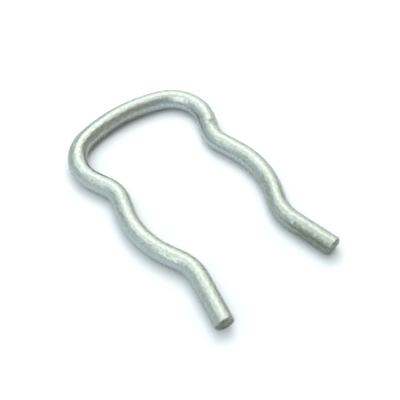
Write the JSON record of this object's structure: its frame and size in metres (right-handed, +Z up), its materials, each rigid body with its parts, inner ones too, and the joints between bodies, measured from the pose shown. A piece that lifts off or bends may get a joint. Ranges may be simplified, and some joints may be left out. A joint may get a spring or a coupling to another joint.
{
  "type": "wire retaining clip",
  "caption": "U-shaped spring retaining clip bent from round zinc-plated wire, with an arched crown and waved legs that snap into the groove of a round fitting.",
  "frame": {"origin": "middle of the clip's outline, on the surface that it lies on", "axes": "+Y towards the crown with the tips towards -Y, +X to the right, +Z up through the wire's thickness"},
  "size_m": [0.0162, 0.0276, 0.002],
  "materials": {
    "zinc_wire": "zinc-plated spring steel wire, satin and slightly mottled, with dull cropped ends"
  },
  "bodies": {
    "root": {"wire_clip": "zinc_wire"}
  },
  "joints": []
}
